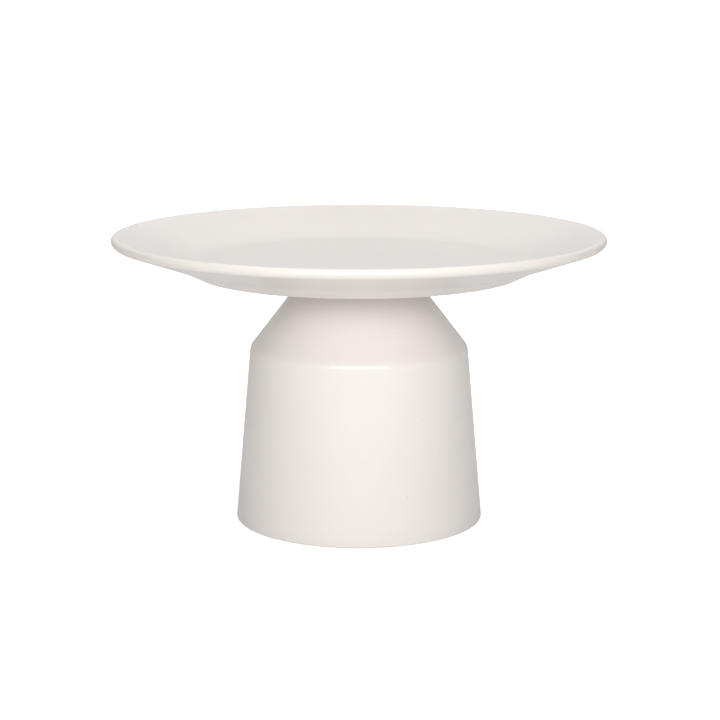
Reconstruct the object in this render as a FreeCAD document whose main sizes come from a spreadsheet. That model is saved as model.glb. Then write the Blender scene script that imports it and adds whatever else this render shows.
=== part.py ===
import FreeCAD, Part
import os

import Sketcher

# A round cake stand: a wide glazed plate on a hollow glazed pedestal. The plate is drawn down
# onto the pedestal's crown by a hand screw that is reached through the open foot.
# Millimetres. +Z is up and the origin is the centre of the foot, on the surface it stands on.

doc = FreeCAD.newDocument("CakeStand")
sizes = doc.addObject("Spreadsheet::Sheet", "Sizes")

DIMENSIONS = [
    # Plate, measured from the bottom of its own foot ring.
    ("plate_radius", 150.0),
    ("plate_height", 24.3),
    ("lip_face_foot", 19.3),
    ("lip_crest_radius", 146.6),
    ("lip_outer_round", 2.5),
    ("lip_inner_round", 3.0),
    ("lip_under_round", 3.4),
    ("well_radius", 97.3),
    ("well_floor", 8.7),
    ("well_round", 40.0),
    ("crease_radius", 112.0),
    ("crease_height", 6.3),
    ("crease_round", 4.0),
    ("ring_outer_radius", 98.8),
    ("ring_inner_radius", 93.0),
    ("ring_round", 1.6),
    ("recess_radius", 90.5),
    ("recess_depth", 3.6),
    ("recess_round", 3.0),
    ("boss_radius", 11.0),
    ("boss_length", 3.1),
    ("boss_round", 0.8),
    ("boss_hole_radius", 5.5),
    ("boss_hole_depth", 5.4),
    # Pedestal: a slightly tapered wall, a shoulder, a steep cone and a flat crown with one hole.
    ("foot_radius", 76.1),
    ("foot_round", 1.6),
    ("shoulder_radius", 66.7),
    ("shoulder_height", 107.5),
    ("shoulder_round", 7.0),
    ("crown_radius", 30.3),
    ("crown_height", 155.0),
    ("crown_round", 1.5),
    ("crown_thickness", 7.0),
    ("crown_hole_radius", 12.0),
    ("crown_hole_round", 0.8),
    ("crown_inner_radius", 28.7),
    ("crown_inner_round", 4.0),
    ("wall_thickness", 5.5),
    ("inner_shoulder_drop", 2.1),
    # Soft seat between crown and plate.
    ("gasket_outer_radius", 28.0),
    ("gasket_inner_radius", 13.0),
    ("gasket_thickness", 1.2),
    ("soft_round", 0.35),
    # Brass thread insert and the resin that holds it in the boss.
    ("insert_radius", 5.0),
    ("insert_bore_radius", 3.05),
    ("insert_length", 5.2),
    ("insert_groove_depth", 0.5),
    ("insert_groove_width", 0.8),
    # Washers under the crown.
    ("cushion_radius", 22.0),
    ("cushion_thickness", 1.5),
    ("washer_radius", 20.0),
    ("washer_thickness", 1.5),
    ("washer_hole_radius", 3.3),
    ("washer_chamfer", 0.3),
    # Hand screw: an M6 stud moulded into a lobed knob.
    ("stud_radius", 3.0),
    ("stud_in_knob", 17.0),
    ("stud_tip_gap", 0.5),
    ("stud_chamfer", 0.6),
    ("knob_radius", 20.0),
    ("knob_grip_height", 15.0),
    ("knob_height", 20.0),
    ("knob_collar_radius", 10.0),
    ("knob_lobes", 6),
    ("knob_scallop_radius", 8.0),
    ("knob_scallop_offset", 25.0),
    ("knob_round", 1.6),
    ("knob_collar_round", 0.8),
]

for row, (alias, size) in enumerate(DIMENSIONS, 1):
    sizes.set(f"A{row}", alias)
    sizes.set(f"B{row}", str(size))
    sizes.setAlias(f"B{row}", alias)
doc.recompute()

# Heights of the seats that the loose pieces rest on, above the surface the stand is on.
PLATE_SEAT = "Sizes.crown_height + Sizes.gasket_thickness - Sizes.recess_depth"
BOSS_END = "Sizes.crown_height + Sizes.gasket_thickness - Sizes.boss_length"
CUSHION_SEAT = "Sizes.crown_height - Sizes.crown_thickness - Sizes.cushion_thickness"
WASHER_SEAT = f"{CUSHION_SEAT} - Sizes.washer_thickness"
KNOB_SEAT = f"{WASHER_SEAT} - Sizes.knob_height"
STUD_SEAT = f"{WASHER_SEAT} - Sizes.stud_in_knob"
STUD_LENGTH = f"{BOSS_END} + Sizes.insert_length - Sizes.stud_tip_gap - ({STUD_SEAT})"
MATCH = 0.01


def value(expression):
    """The number that an expression on the sheet comes to."""
    return float(sizes.evalExpression(expression))


def new_body(label, seat="0"):
    """An empty body with its own name, standing at a height of its own."""
    body = doc.addObject("PartDesign::Body", label)
    body.Label = label
    body.setExpression("Placement.Base.z", seat)
    return body


def new_sketch(body, name, role):
    """A sketch on one of the body's own origin planes."""
    plane = next(o for o in body.Origin.OriginFeatures if o.Role == role)
    sketch = body.newObject("Sketcher::SketchObject", name)
    sketch.AttachmentSupport = (plane, [""])
    sketch.MapMode = "FlatFace"
    return sketch


def pin_corner(sketch, line, kind, axis, expression):
    """Hold the start of a line on an axis, or at a distance from it that the sheet gives."""
    if expression == "0":
        sketch.addConstraint(Sketcher.Constraint("PointOnObject", line, 1, axis))
        return
    size = value(expression)
    index = sketch.addConstraint(Sketcher.Constraint(kind, -1, 1, line, 1, size))
    sketch.setExpression(f"Constraints[{index}]", expression)


def add_outline(sketch, corners):
    """A closed outline of straight lines; each corner is (radius, height) as expressions."""
    points = [FreeCAD.Vector(value(r), value(z), 0) for r, z in corners]
    count = len(points)
    for i in range(count):
        sketch.addGeometry(Part.LineSegment(points[i], points[(i + 1) % count]), False)
    for i in range(count):
        sketch.addConstraint(Sketcher.Constraint("Coincident", i, 2, (i + 1) % count, 1))
    for i, (radius, height) in enumerate(corners):
        pin_corner(sketch, i, "DistanceX", -2, radius)
        pin_corner(sketch, i, "DistanceY", -1, height)


def add_circle(sketch, radius, offset="0"):
    """A circle on the sketch's X axis, at an offset from the centre."""
    centre = FreeCAD.Vector(value(offset), 0, 0)
    circle = Part.Circle(centre, FreeCAD.Vector(0, 0, 1), value(radius))
    line = sketch.addGeometry(circle, False)
    index = sketch.addConstraint(Sketcher.Constraint("Radius", line, value(radius)))
    sketch.setExpression(f"Constraints[{index}]", radius)
    if offset == "0":
        sketch.addConstraint(Sketcher.Constraint("Coincident", line, 3, -1, 1))
        return
    sketch.addConstraint(Sketcher.Constraint("PointOnObject", line, 3, -1))
    index = sketch.addConstraint(
        Sketcher.Constraint("DistanceX", -1, 1, line, 3, value(offset))
    )
    sketch.setExpression(f"Constraints[{index}]", offset)


def revolve(body, name, corners):
    """Turn an outline once round the body's Z axis."""
    sketch = new_sketch(body, f"{name}_profile", "XZ_Plane")
    add_outline(sketch, corners)
    turned = body.newObject("PartDesign::Revolution", name)
    turned.Profile = sketch
    turned.ReferenceAxis = (sketch, ["V_Axis"])
    turned.Angle = 360
    doc.recompute()
    return turned


def pad(body, name, circles, height):
    """Raise a sketch of circles on the body's floor plane."""
    sketch = new_sketch(body, f"{name}_profile", "XY_Plane")
    for radius in circles:
        add_circle(sketch, radius)
    raised = body.newObject("PartDesign::Pad", name)
    raised.Profile = sketch
    raised.setExpression("Length", height)
    doc.recompute()
    return raised


def check_cut(body, before, name):
    """Stop if a cut took nothing away."""
    if body.Shape.Volume > before - 1:
        raise RuntimeError(f"{name} cuts nothing")


def rims(body, radius, height):
    """Names of the circular edges about the body's axis at a radius and height."""
    found = []
    for number, edge in enumerate(body.Tip.Shape.Edges, 1):
        curve = edge.Curve
        if not isinstance(curve, Part.Circle):
            continue
        same_size = abs(curve.Radius - value(radius)) < MATCH
        same_level = abs(curve.Center.z - value(height)) < MATCH
        if same_size and same_level and curve.Center.x ** 2 + curve.Center.y ** 2 < MATCH:
            found.append(f"Edge{number}")
    if not found:
        raise RuntimeError(f"{body.Label} has no rim at {radius}, {height}")
    return found


def soften(body, corners, kind="PartDesign::Fillet", size_name="Radius"):
    """Round, or chamfer, rims one after another; each is (radius, height, size)."""
    for radius, height, size in corners:
        doc.recompute()
        edges = rims(body, radius, height)
        rounded = body.newObject(kind, f"{body.Label}_edge")
        rounded.Base = (rounded.BaseFeature, edges)
        rounded.setExpression(size_name, size)
    doc.recompute()


def make_plate():
    """The plate: flat well, sloping wall, rounded lip, foot ring and a short centring boss."""
    body = new_body("plate", PLATE_SEAT)
    boss_end = "Sizes.recess_depth - Sizes.boss_length"
    hole_top = f"{boss_end} + Sizes.boss_hole_depth"
    revolve(body, "plate_turned", [
        ("0", "Sizes.well_floor"),
        ("Sizes.well_radius", "Sizes.well_floor"),
        ("Sizes.lip_crest_radius", "Sizes.plate_height"),
        ("Sizes.plate_radius", "Sizes.plate_height"),
        ("Sizes.plate_radius", "Sizes.lip_face_foot"),
        ("Sizes.crease_radius", "Sizes.crease_height"),
        ("Sizes.ring_outer_radius", "0"),
        ("Sizes.ring_inner_radius", "0"),
        ("Sizes.recess_radius", "Sizes.recess_depth"),
        ("Sizes.boss_radius", "Sizes.recess_depth"),
        ("Sizes.boss_radius", boss_end),
        ("Sizes.boss_hole_radius", boss_end),
        ("Sizes.boss_hole_radius", hole_top),
        ("0", hole_top),
    ])
    soften(body, [
        ("Sizes.well_radius", "Sizes.well_floor", "Sizes.well_round"),
        ("Sizes.plate_radius", "Sizes.plate_height", "Sizes.lip_outer_round"),
        ("Sizes.lip_crest_radius", "Sizes.plate_height", "Sizes.lip_inner_round"),
        ("Sizes.plate_radius", "Sizes.lip_face_foot", "Sizes.lip_under_round"),
        ("Sizes.crease_radius", "Sizes.crease_height", "Sizes.crease_round"),
        ("Sizes.ring_outer_radius", "0", "Sizes.ring_round"),
        ("Sizes.ring_inner_radius", "0", "Sizes.ring_round"),
        ("Sizes.recess_radius", "Sizes.recess_depth", "Sizes.recess_round"),
        ("Sizes.boss_radius", boss_end, "Sizes.boss_round"),
        ("Sizes.boss_radius", "Sizes.recess_depth", "Sizes.boss_round"),
    ])
    return body


def make_pedestal():
    """The hollow pedestal, open at the foot, with a thick flat crown."""
    body = new_body("pedestal")
    inner_shoulder_radius = "Sizes.shoulder_radius - Sizes.wall_thickness"
    inner_shoulder_height = "Sizes.shoulder_height - Sizes.inner_shoulder_drop"
    under_crown = "Sizes.crown_height - Sizes.crown_thickness"
    inner_foot_radius = "Sizes.foot_radius - Sizes.wall_thickness"
    revolve(body, "pedestal_turned", [
        ("Sizes.foot_radius", "0"),
        ("Sizes.shoulder_radius", "Sizes.shoulder_height"),
        ("Sizes.crown_radius", "Sizes.crown_height"),
        ("Sizes.crown_hole_radius", "Sizes.crown_height"),
        ("Sizes.crown_hole_radius", under_crown),
        ("Sizes.crown_inner_radius", under_crown),
        (inner_shoulder_radius, inner_shoulder_height),
        (inner_foot_radius, "0"),
    ])
    soften(body, [
        ("Sizes.foot_radius", "0", "Sizes.foot_round"),
        (inner_foot_radius, "0", "Sizes.foot_round"),
        ("Sizes.shoulder_radius", "Sizes.shoulder_height", "Sizes.shoulder_round"),
        (inner_shoulder_radius, inner_shoulder_height, "Sizes.crown_inner_round"),
        ("Sizes.crown_radius", "Sizes.crown_height", "Sizes.crown_round"),
        ("Sizes.crown_inner_radius", under_crown, "Sizes.crown_inner_round"),
        ("Sizes.crown_hole_radius", "Sizes.crown_height", "Sizes.crown_hole_round"),
        ("Sizes.crown_hole_radius", under_crown, "Sizes.crown_hole_round"),
    ])
    return body


def make_washer(label, seat, outer, inner, thickness):
    """A flat ring lying on its seat."""
    body = new_body(label, seat)
    pad(body, f"{label}_ring", [outer, inner], thickness)
    return body


def make_seat_gasket():
    """The soft ring on the crown that the plate rests on."""
    outer = "Sizes.gasket_outer_radius"
    inner = "Sizes.gasket_inner_radius"
    body = make_washer("seat_gasket", "Sizes.crown_height", outer, inner, "Sizes.gasket_thickness")
    soften(body, [
        (outer, "0", "Sizes.soft_round"),
        (outer, "Sizes.gasket_thickness", "Sizes.soft_round"),
    ])
    return body


def make_cushion_washer():
    """The soft washer between the steel washer and the underside of the crown."""
    outer = "Sizes.cushion_radius"
    inner = "Sizes.washer_hole_radius"
    body = make_washer("cushion_washer", CUSHION_SEAT, outer, inner, "Sizes.cushion_thickness")
    soften(body, [
        (outer, "0", "Sizes.soft_round"),
        (outer, "Sizes.cushion_thickness", "Sizes.soft_round"),
    ])
    return body


def make_clamp_washer():
    """The steel washer that spreads the knob's push."""
    outer = "Sizes.washer_radius"
    inner = "Sizes.washer_hole_radius"
    body = make_washer("clamp_washer", WASHER_SEAT, outer, inner, "Sizes.washer_thickness")
    soften(body, [
        (outer, "0", "Sizes.washer_chamfer"),
        (outer, "Sizes.washer_thickness", "Sizes.washer_chamfer"),
    ], "PartDesign::Chamfer", "Size")
    return body


def make_insert_bond():
    """The sleeve of cured resin between the insert and its hole in the boss."""
    return make_washer(
        "insert_bond", BOSS_END, "Sizes.boss_hole_radius", "Sizes.insert_radius", "Sizes.insert_length"
    )


def make_threaded_insert():
    """The brass insert, with two grooves that key it into the resin."""
    body = new_body("threaded_insert", BOSS_END)
    waist = "Sizes.insert_radius - Sizes.insert_groove_depth"
    corners = [("Sizes.insert_bore_radius", "0"), ("Sizes.insert_radius", "0")]
    for third in (1, 2):
        start = f"Sizes.insert_length * {third} / 3 - Sizes.insert_groove_width / 2"
        end = f"Sizes.insert_length * {third} / 3 + Sizes.insert_groove_width / 2"
        corners += [("Sizes.insert_radius", start), (waist, start)]
        corners += [(waist, end), ("Sizes.insert_radius", end)]
    corners += [("Sizes.insert_radius", "Sizes.insert_length")]
    corners += [("Sizes.insert_bore_radius", "Sizes.insert_length")]
    revolve(body, "insert_turned", corners)
    return body


def make_clamp_stud():
    """The M6 stud as a plain rod at its thread's outer size."""
    body = new_body("clamp_stud", STUD_SEAT)
    pad(body, "stud_rod", ["Sizes.stud_radius"], STUD_LENGTH)
    soften(body, [
        ("Sizes.stud_radius", "0", "Sizes.stud_chamfer"),
        ("Sizes.stud_radius", STUD_LENGTH, "Sizes.stud_chamfer"),
    ], "PartDesign::Chamfer", "Size")
    return body


def cut(body, name, radius, offset, start, through):
    """Cut a round pocket upwards from a level of the body."""
    before = body.Shape.Volume
    sketch = new_sketch(body, f"{name}_profile", "XY_Plane")
    sketch.setExpression("AttachmentOffset.Base.z", start)
    add_circle(sketch, radius, offset)
    pocket = body.newObject("PartDesign::Pocket", name)
    pocket.Profile = sketch
    pocket.Reversed = True
    pocket.setExpression("Length", through)
    doc.recompute()
    check_cut(body, before, name)
    return pocket


def make_clamp_knob():
    """The moulded hand knob: a scalloped grip, a collar that meets the washer, a blind hole."""
    body = new_body("clamp_knob", KNOB_SEAT)
    pad(body, "knob_grip", ["Sizes.knob_radius"], "Sizes.knob_grip_height")
    scallop = cut(
        body, "knob_scallop", "Sizes.knob_scallop_radius", "Sizes.knob_scallop_offset", "0",
        "Sizes.knob_grip_height",
    )
    before = body.Shape.Volume
    ring = body.newObject("PartDesign::PolarPattern", "knob_scallops")
    ring.Originals = [scallop]
    z_axis = next(o for o in body.Origin.OriginFeatures if o.Role == "Z_Axis")
    ring.Axis = (z_axis, [""])
    ring.Angle = 360
    ring.setExpression("Occurrences", "Sizes.knob_lobes")
    body.Tip = ring
    doc.recompute()
    check_cut(body, before, "knob_scallops")
    outline = []
    for number, edge in enumerate(ring.Shape.Edges, 1):
        box = edge.BoundBox
        flat = box.ZLength < MATCH
        if flat:
            outline.append(f"Edge{number}")
    grip = body.newObject("PartDesign::Fillet", "knob_grip_edges")
    grip.Base = (ring, outline)
    grip.setExpression("Radius", "Sizes.knob_round")
    doc.recompute()
    pad(body, "knob_collar", ["Sizes.knob_collar_radius"], "Sizes.knob_height")
    soften(body, [("Sizes.knob_collar_radius", "Sizes.knob_height", "Sizes.knob_collar_round")])
    cut(
        body, "knob_stud_hole", "Sizes.stud_radius", "0", "Sizes.knob_height - Sizes.stud_in_knob",
        "Sizes.stud_in_knob",
    )
    return body


subparts = [
    make_plate(),
    make_threaded_insert(),
    make_insert_bond(),
    make_seat_gasket(),
    make_pedestal(),
    make_cushion_washer(),
    make_clamp_washer(),
    make_clamp_stud(),
    make_clamp_knob(),
]

doc.recompute()
for item in doc.Objects:
    if "Invalid" in item.State or "Error" in item.State:
        raise RuntimeError(f"{item.Label} failed: {item.State}")
for body in subparts:
    if body.Shape.isNull() or not body.Shape.isValid():
        raise RuntimeError(f"{body.Label} has no valid shape")

os.makedirs("parts", exist_ok=True)
for body in subparts:
    body.Shape.exportStep(f"parts/{body.Label}.step")
    box = body.Shape.optimalBoundingBox()
    print(
        f"{body.Label}: {body.Shape.Volume / 1000:.2f} cm3, "
        f"{box.XLength:.1f} x {box.YLength:.1f} x {box.ZLength:.1f} mm, "
        f"from {box.ZMin:.2f} to {box.ZMax:.2f}"
    )
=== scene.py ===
# %% [markdown]
# # A glazed cake stand
#
# The real object is two pieces of cream-glazed ceramic: a wide plate with a rounded lip and a foot
# ring, and a hollow pedestal with a shoulder. A hand screw inside the pedestal draws the plate
# down onto it. Everything round was turned on a wheel or a lathe, so the lesson makes it the same
# way: draw half of the section as a wire, round its corners, and spin it about the middle.
#
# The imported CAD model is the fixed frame. Each piece made here takes the place of one CAD part,
# and its height comes from that part's box.

# %% Load the frame
import math

import bmesh
import bpy
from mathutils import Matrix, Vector


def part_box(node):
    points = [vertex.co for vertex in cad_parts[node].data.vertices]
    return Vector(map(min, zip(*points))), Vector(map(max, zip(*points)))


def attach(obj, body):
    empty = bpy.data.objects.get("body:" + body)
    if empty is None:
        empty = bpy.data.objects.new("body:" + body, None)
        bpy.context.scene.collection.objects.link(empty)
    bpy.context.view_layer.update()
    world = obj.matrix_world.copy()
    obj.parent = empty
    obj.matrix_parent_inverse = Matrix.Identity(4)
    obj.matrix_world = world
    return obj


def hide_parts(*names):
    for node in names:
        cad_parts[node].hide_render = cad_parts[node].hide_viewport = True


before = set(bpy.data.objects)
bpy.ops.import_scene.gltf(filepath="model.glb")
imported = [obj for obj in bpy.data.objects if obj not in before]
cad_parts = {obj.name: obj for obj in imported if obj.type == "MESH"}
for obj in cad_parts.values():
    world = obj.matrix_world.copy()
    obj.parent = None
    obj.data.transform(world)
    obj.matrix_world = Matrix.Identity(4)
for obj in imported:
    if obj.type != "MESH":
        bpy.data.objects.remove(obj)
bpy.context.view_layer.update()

MM = 0.001

# %% [markdown]
# ## Turning a section
#
# A section could be a long table of points, but a potter thinks of straight runs and rounded
# corners. So the wire has only its corners, and a vertex bevel puts an arc of a given radius at
# each one. A vertex bevel wants the distance from the corner to the arc's ends, which is the
# radius times the tangent of half the turn. Long runs are then divided, because smooth shading
# spreads a corner's normals over the whole of a long face, and a glossy glaze would show that as a
# false highlight.

# %% Helpers for turned pieces
TURN_STEPS = 192
ARC_STEP = math.radians(7.5)
FEWEST_ARC_STEPS = 3
RUN_STEP = 4.0 * MM
WELD = 0.001 * MM
SHARP = math.radians(35)


def corner_turn(vertex):
    """How far the wire turns at a vertex, in radians."""
    before, after = [(e.other_vert(vertex).co - vertex.co).normalized() for e in vertex.link_edges]
    return math.pi - before.angle(after)


def round_corner(bm, vertex, radius):
    """Put an arc of this radius at a corner of the wire."""
    turn = corner_turn(vertex)
    bmesh.ops.bevel(
        bm, geom=[vertex], offset=radius * math.tan(turn / 2), offset_type="OFFSET",
        affect="VERTICES", segments=max(FEWEST_ARC_STEPS, math.ceil(turn / ARC_STEP)),
        profile=0.5, material=-1, clamp_overlap=False,
    )


def rounded_wire(bm, corners, closed):
    """A wire through (place, rounding) corners."""
    points = [bm.verts.new(place) for place, _ in corners]
    following = points[1:] + points[:1] if closed else points[1:]
    for start, end in zip(points, following):
        bm.edges.new((start, end))
    for vertex, (_, rounding) in zip(points, corners, strict=True):
        if rounding:
            round_corner(bm, vertex, rounding)


def add_section(bm, points, closed=True):
    """A wire in the XZ plane from (radius, height, corner rounding) in metres."""
    rounded_wire(bm, [(Vector((r, 0, z)), rounding) for r, z, rounding in points], closed)


def loose_wire(bm):
    """The vertices and edges that no face uses yet."""
    edges = [e for e in bm.edges if not e.link_faces]
    return [v for v in bm.verts if not v.link_faces], edges


def turn_round(bm, steps=TURN_STEPS, run_step=RUN_STEP):
    """Divide the loose wire's long runs and spin it once round the Z axis."""
    for edge in loose_wire(bm)[1]:
        cuts = math.ceil(edge.calc_length() / run_step) - 1
        if cuts > 0:
            bmesh.ops.subdivide_edges(bm, edges=[edge], cuts=cuts)
    verts, edges = loose_wire(bm)
    bmesh.ops.spin(
        bm, geom=verts + edges, cent=(0, 0, 0), axis=(0, 0, 1), angle=math.tau, steps=steps,
        use_merge=True,
    )
    bmesh.ops.remove_doubles(bm, verts=bm.verts[:], dist=WELD)
    bmesh.ops.recalc_face_normals(bm, faces=bm.faces[:])


def finish_piece(name, bm, node, body, slot, *materials):
    """Make the object, with crisp corners kept, riding on its body in place of its CAD part."""
    mesh = bpy.data.meshes.new(name)
    for face in bm.faces:
        face.smooth = True
    for edge in bm.edges:
        edge.smooth = edge.calc_face_angle(0) < SHARP
    bm.to_mesh(mesh)
    bm.free()
    piece = bpy.data.objects.new(name, mesh)
    bpy.context.scene.collection.objects.link(piece)
    for material in materials:
        mesh.materials.append(material)
    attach(piece, body)
    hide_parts(node)
    size = tuple(round(x / MM, 1) for x in piece.dimensions)
    print(f"{name}: {len(mesh.polygons)} faces, {size} mm")


print("a full turn takes", TURN_STEPS, "steps, and an arc one for each",
      round(math.degrees(ARC_STEP), 1), "degrees")

# %% [markdown]
# ## Node helpers
#
# Materials are built from code here, so a short helper adds a node and fills its sockets, and
# another makes a node group with named sockets. The rest are for what nearly every finish needs:
# a noise, a sum, a colour mix, the distance from the turning axis, and a bump.

# %% Helpers for nodes
def add_node(tree, kind, inputs=None, **settings):
    """A node with its settings and socket values; a socket value that is a socket is linked."""
    node = tree.nodes.new(kind)
    for key, setting in settings.items():
        setattr(node, key, setting)
    for key, source in (inputs or {}).items():
        if isinstance(source, bpy.types.NodeSocket):
            tree.links.new(source, node.inputs[key])
        else:
            node.inputs[key].default_value = source
    return node


def new_group(name, inputs, outputs):
    """A shader node group: inputs are {name: (type, value)}, outputs {name: type}."""
    tree = bpy.data.node_groups.new(name, "ShaderNodeTree")
    for label, (kind, start) in inputs.items():
        socket = tree.interface.new_socket(label, in_out="INPUT", socket_type=kind)
        socket.default_value = start
    for label, kind in outputs.items():
        tree.interface.new_socket(label, in_out="OUTPUT", socket_type=kind)
    return tree, tree.nodes.new("NodeGroupInput"), tree.nodes.new("NodeGroupOutput")


def set_sockets(node, **values):
    """Set a node's own sockets by their names, with _ for a space."""
    for label, start in values.items():
        node.inputs[label.replace("_", " ")].default_value = start


def use_group(tree, group, **values):
    """Place a group in a material and set its inputs by their names."""
    node = tree.nodes.new("ShaderNodeGroup")
    node.node_tree = group
    set_sockets(node, **values)
    return node


def new_material(name):
    """An empty material with a Principled shader, and its tree and shader."""
    material = bpy.data.materials.new(name)
    material.use_nodes = True
    tree = material.node_tree
    tree.nodes.clear()
    shader = tree.nodes.new("ShaderNodeBsdfPrincipled")
    output = tree.nodes.new("ShaderNodeOutputMaterial")
    tree.links.new(shader.outputs["BSDF"], output.inputs["Surface"])
    return material, tree, shader


def math_node(tree, operation, first, second=0.0, clamp=False):
    """The output of one sum."""
    return add_node(
        tree, "ShaderNodeMath", {0: first, 1: second}, operation=operation, use_clamp=clamp
    ).outputs[0]


def noise_node(tree, place, scale, detail, roughness=0.5):
    """A noise's value at a place."""
    return add_node(
        tree, "ShaderNodeTexNoise",
        {"Vector": place, "Scale": scale, "Detail": detail, "Roughness": roughness},
    ).outputs["Fac"]


def object_place(tree):
    """The place on the object, which stays put as the piece moves."""
    return add_node(tree, "ShaderNodeTexCoord").outputs["Object"]


def axis_distance(tree, place):
    """How far a place is from the turning axis."""
    flat = add_node(tree, "ShaderNodeVectorMath", {0: place, 1: (1, 1, 0)}, operation="MULTIPLY")
    return add_node(
        tree, "ShaderNodeVectorMath", {0: flat.outputs["Vector"]}, operation="LENGTH"
    ).outputs["Value"]


def mixed_colour(tree, factor, first, second):
    """The output of one colour mix."""
    node = add_node(tree, "ShaderNodeMix", {"Factor": factor}, data_type="RGBA")
    for socket, source in zip(node.inputs[6:8], (first, second), strict=True):
        if isinstance(source, bpy.types.NodeSocket):
            tree.links.new(source, socket)
        else:
            socket.default_value = source
    return node.outputs[2]


def finish_surface(tree, shader, surface, strength, distance):
    """Link a group's colour, roughness and height to the shader."""
    bump = add_node(
        tree, "ShaderNodeBump",
        {"Strength": strength, "Distance": distance, "Height": surface.outputs["Height"]},
    )
    tree.links.new(surface.outputs["Colour"], shader.inputs["Base Color"])
    tree.links.new(surface.outputs["Roughness"], shader.inputs["Roughness"])
    tree.links.new(bump.outputs["Normal"], shader.inputs["Normal"])


SURFACE_OUTPUTS = {
    "Colour": "NodeSocketColor", "Roughness": "NodeSocketFloat", "Height": "NodeSocketFloat",
}
print("every surface group puts out", ", ".join(SURFACE_OUTPUTS))


# %% [markdown]
# ## What a glaze does
#
# A glaze is glass that ran a little while it was hot. It is never quite one tone: it is a touch
# deeper where it pooled, in a crease or at the bottom of a wall, and a touch warmer where it ran
# thin over an edge and the clay shows through. Its surface is very slightly wavy, and it has a few
# fine specks and pinholes. Both big pieces need all of this, so it is one node group. The group
# gives a colour, a roughness and a height; the shader stays in the material.

# %% The glaze group
CLOUD_SCALE = 22.0
CLOUD_TONE = 0.35
CLOUD_ROUGHNESS = 0.05
WAVE_SCALE = 75.0
RIPPLE_SCALE = 900.0
RIPPLE_SHARE = 0.03
BORDER_DRIFT = 0.35
POOL_TONE = 0.5
THIN_TONE = 0.4
SPECK_CELLS = 210.0
SPECK_CHOSEN = 0.965
SPECK_RADIUS = 0.11
SPECK_COLOUR = (0.42, 0.33, 0.24, 1)
PINHOLE_SHARE = 0.4


def make_glaze_group():
    """Cloudy tone, pooling by height, specks and a wavy surface."""
    tree, given, out = new_group(
        "glaze_surface",
        {
            "Glaze Colour": ("NodeSocketColor", (0.8, 0.75, 0.7, 1)),
            "Thin Colour": ("NodeSocketColor", (0.8, 0.7, 0.6, 1)),
            "Pool Colour": ("NodeSocketColor", (0.7, 0.65, 0.6, 1)),
            "Pool Height": ("NodeSocketFloat", 0.0),
            "Pool Reach": ("NodeSocketFloat", 0.01),
            "Edge Height": ("NodeSocketFloat", 0.0),
            "Edge Reach": ("NodeSocketFloat", 0.003),
            "Speck Amount": ("NodeSocketFloat", 0.2),
            "Gloss Roughness": ("NodeSocketFloat", 0.12),
        },
        SURFACE_OUTPUTS,
    )
    place = object_place(tree)
    height = add_node(tree, "ShaderNodeSeparateXYZ", {0: place}).outputs["Z"]
    clouds = noise_node(tree, place, CLOUD_SCALE, 3.0)
    waves = noise_node(tree, place, WAVE_SCALE, 1.0, 0.4)
    ripples = noise_node(tree, place, RIPPLE_SCALE, 2.0)

    def nearness(level, reach):
        """1 at a level, falling to 0 one reach away, with an uneven border."""
        drift = math_node(tree, "MULTIPLY", clouds, given.outputs["Pool Reach"])
        shifted = math_node(tree, "ADD", height, math_node(tree, "MULTIPLY", drift, BORDER_DRIFT))
        gap = math_node(tree, "ABSOLUTE", math_node(tree, "SUBTRACT", shifted, level))
        return math_node(tree, "SUBTRACT", 1.0, math_node(tree, "DIVIDE", gap, reach), clamp=True)

    pool_colour = given.outputs["Pool Colour"]
    pool = nearness(given.outputs["Pool Height"], given.outputs["Pool Reach"])
    thin = nearness(given.outputs["Edge Height"], given.outputs["Edge Reach"])
    cloudy = math_node(tree, "MULTIPLY", clouds, CLOUD_TONE)
    toned = mixed_colour(tree, cloudy, given.outputs["Glaze Colour"], pool_colour)
    pooled = mixed_colour(tree, math_node(tree, "MULTIPLY", pool, POOL_TONE), toned, pool_colour)
    thinned = math_node(tree, "MULTIPLY", thin, THIN_TONE)
    edged = mixed_colour(tree, thinned, pooled, given.outputs["Thin Colour"])

    cells = add_node(
        tree, "ShaderNodeTexVoronoi", {"Vector": place, "Scale": SPECK_CELLS, "Randomness": 1.0}
    )
    cell_value = add_node(tree, "ShaderNodeSeparateColor", {0: cells.outputs["Color"]}).outputs[0]
    chosen = math_node(tree, "GREATER_THAN", cell_value, SPECK_CHOSEN)
    dot = math_node(tree, "LESS_THAN", cells.outputs["Distance"], SPECK_RADIUS)
    speck = math_node(tree, "MULTIPLY", chosen, dot)
    speckled = math_node(tree, "MULTIPLY", speck, given.outputs["Speck Amount"])
    specked = mixed_colour(tree, speckled, edged, SPECK_COLOUR)
    cloud_rough = math_node(tree, "MULTIPLY", clouds, CLOUD_ROUGHNESS)
    rough = math_node(tree, "ADD", given.outputs["Gloss Roughness"], cloud_rough)
    lumps = math_node(tree, "ADD", waves, math_node(tree, "MULTIPLY", ripples, RIPPLE_SHARE))
    pinholed = math_node(
        tree, "SUBTRACT", lumps, math_node(tree, "MULTIPLY", speck, PINHOLE_SHARE)
    )
    tree.links.new(specked, out.inputs["Colour"])
    tree.links.new(rough, out.inputs["Roughness"])
    tree.links.new(pinholed, out.inputs["Height"])
    return tree


glaze_surface = make_glaze_group()
print("glaze group has", len(glaze_surface.nodes), "nodes")


# %% [markdown]
# ## The glazes and the bare clay
#
# The plate and the pedestal were dipped in the same cream glaze, but it pools at different
# heights, so each has a material of its own. The glaze is satin rather than mirror-bright: a thin
# gloss coat over a soft, slightly see-through base gives the depth of glass over clay. The faces
# that stand on something were wiped clean before firing, or they would have stuck to the kiln
# shelf, and they show dry, sandy clay.

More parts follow.
